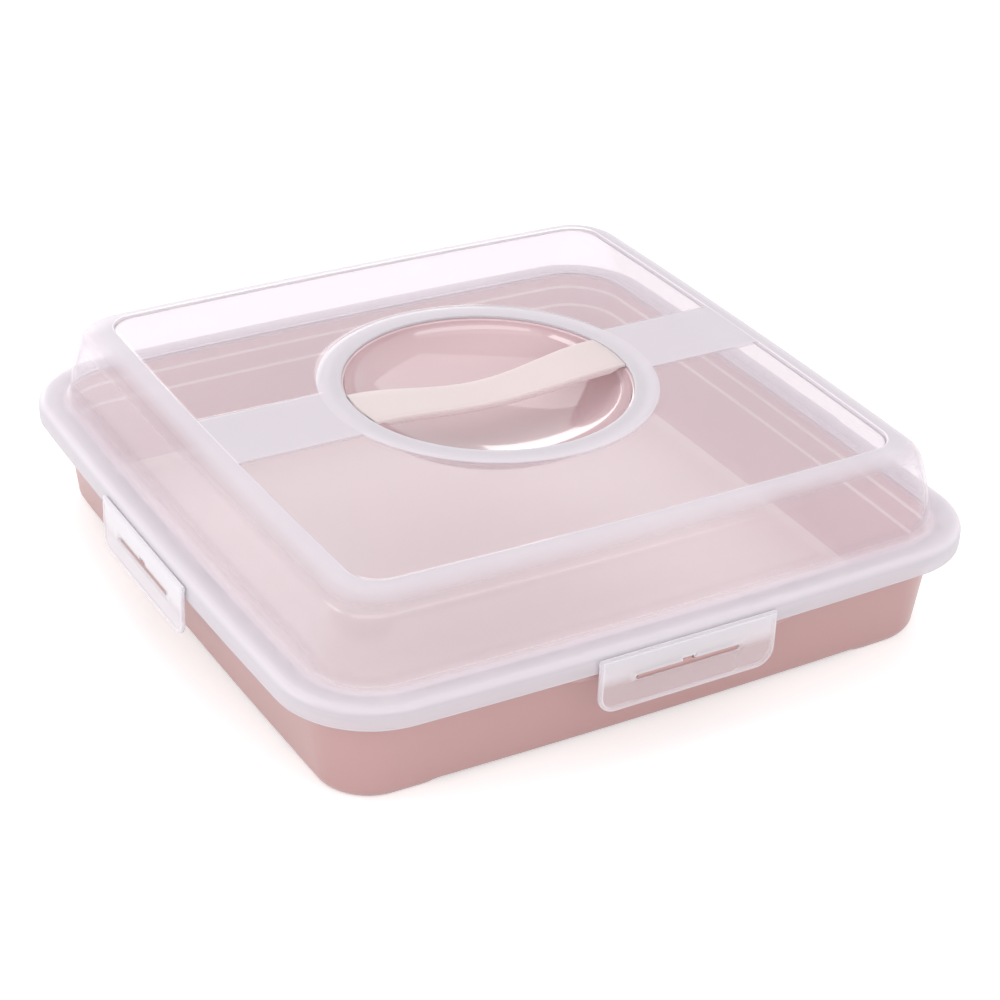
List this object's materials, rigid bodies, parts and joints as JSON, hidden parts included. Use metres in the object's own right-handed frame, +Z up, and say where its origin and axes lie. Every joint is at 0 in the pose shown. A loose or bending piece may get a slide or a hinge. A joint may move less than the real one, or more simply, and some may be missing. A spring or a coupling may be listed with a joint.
{
  "type": "cake carrier",
  "caption": "Square, shallow plastic cake carrier: pink tub, translucent lift-off lid with a recessed grip strap, and slotted side clips.",
  "frame": {"origin": "middle of the carrier's footprint, at the level of the table that the feet stand on", "axes": "+X along the front side to the right, +Y from the front to the back, +Z up"},
  "size_m": [0.365, 0.365, 0.0985],
  "materials": {
    "tub_plastic": "satin",
    "lid_plastic": "translucent, part frosted",
    "bowl_plastic": "satin",
    "strap_plastic": "satin",
    "clip_plastic": "translucent"
  },
  "bodies": {
    "base": {"base_tub": "tub_plastic"},
    "lid": {"lid_shell": "lid_plastic", "handle_bowl": "bowl_plastic", "handle_strap": "strap_plastic"},
    "front_clip": {"clip_front": "clip_plastic"},
    "left_clip": {"clip_left": "clip_plastic"},
    "back_clip": {"clip_back": "clip_plastic"},
    "right_clip": {"clip_right": "clip_plastic"}
  },
  "joints": [
    {"name": "lid_lift", "type": "slide", "parent": "base", "child": "lid", "axis": [0, 0, 1], "range_m": [0, 0.1]},
    {"name": "front_clip_swing", "type": "hinge", "parent": "lid", "child": "front_clip", "pos_m": [0, -0.1813, 0.0553], "axis": [-1, 0, 0], "range_deg": [0, 120]},
    {"name": "left_clip_swing", "type": "hinge", "parent": "lid", "child": "left_clip", "pos_m": [-0.1813, 0, 0.0553], "axis": [0, 1, 0], "range_deg": [0, 120]},
    {"name": "back_clip_swing", "type": "hinge", "parent": "lid", "child": "back_clip", "pos_m": [0, 0.1813, 0.0553], "axis": [1, 0, 0], "range_deg": [0, 120]},
    {"name": "right_clip_swing", "type": "hinge", "parent": "lid", "child": "right_clip", "pos_m": [0.1813, 0, 0.0553], "axis": [0, -1, 0], "range_deg": [0, 120]}
  ]
}
